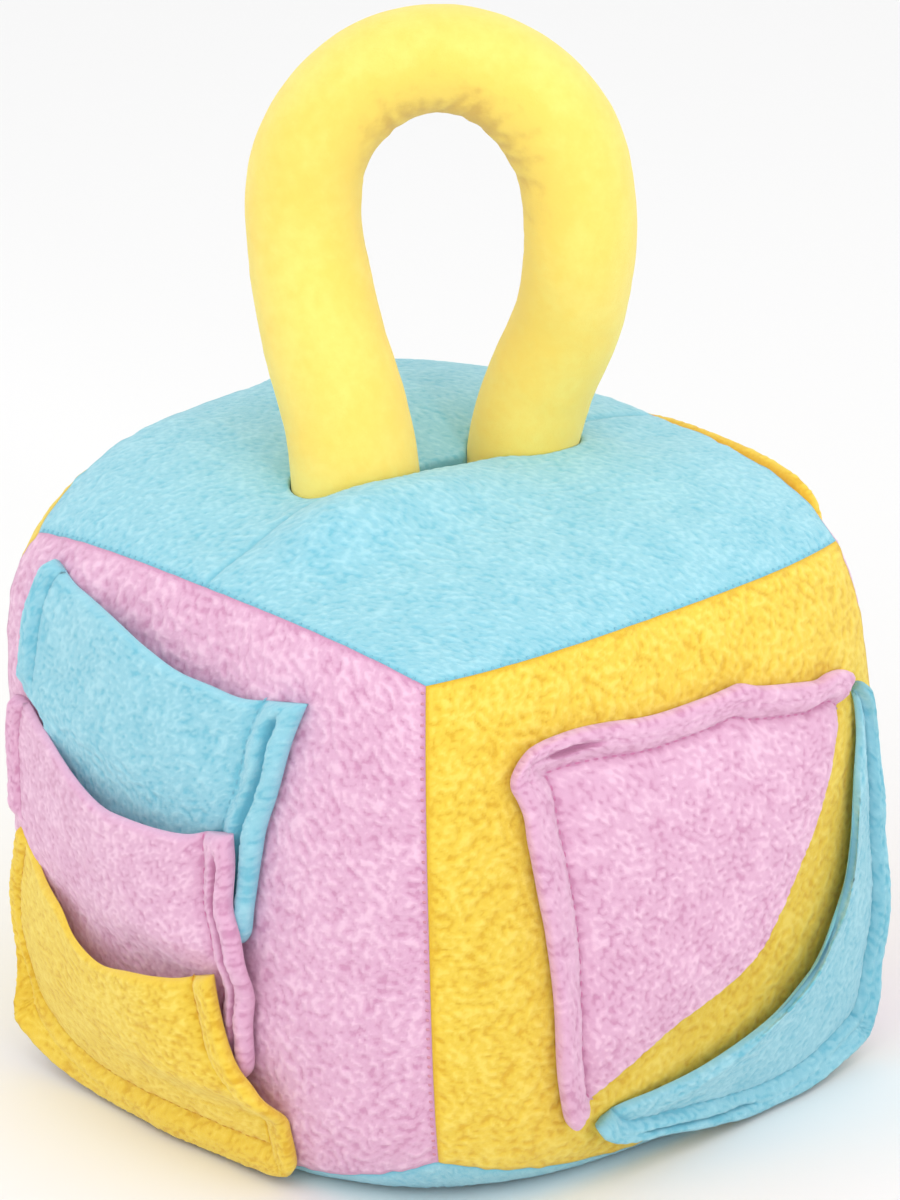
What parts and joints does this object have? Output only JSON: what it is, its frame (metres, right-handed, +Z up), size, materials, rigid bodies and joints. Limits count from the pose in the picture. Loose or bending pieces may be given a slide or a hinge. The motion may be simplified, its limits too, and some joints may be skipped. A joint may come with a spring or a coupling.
{
  "type": "dog snuffle cube",
  "caption": "Stuffed fleece snuffle cube for dogs, with a slit top, overlapping treat pockets on its sides and a padded loop handle.",
  "frame": {"origin": "on the floor, under the middle of the stuffed cube", "axes": "+Z up along the loop handle; the side with the stacked pockets faces -Y and the side with the corner pockets faces +X"},
  "size_m": [0.2133, 0.2242, 0.3042],
  "materials": {
    "fleece_blue": "soft curly fleece, matt",
    "fleece_pink": "soft curly fleece, matt",
    "fleece_yellow": "soft curly fleece, matt",
    "plush_yellow": "short smooth plush, matt with a soft sheen"
  },
  "bodies": {
    "root": {"stuffed_body": "fleece_blue", "panel_front": "fleece_pink", "panel_right": "fleece_yellow", "panel_back": "fleece_pink", "panel_left": "fleece_yellow", "handle": "plush_yellow", "pocket_front_top": "fleece_blue", "pocket_front_middle": "fleece_pink", "pocket_front_bottom": "fleece_yellow", "pocket_right_upper": "fleece_pink", "pocket_right_lower": "fleece_blue", "pocket_back": "fleece_yellow"}
  },
  "joints": []
}
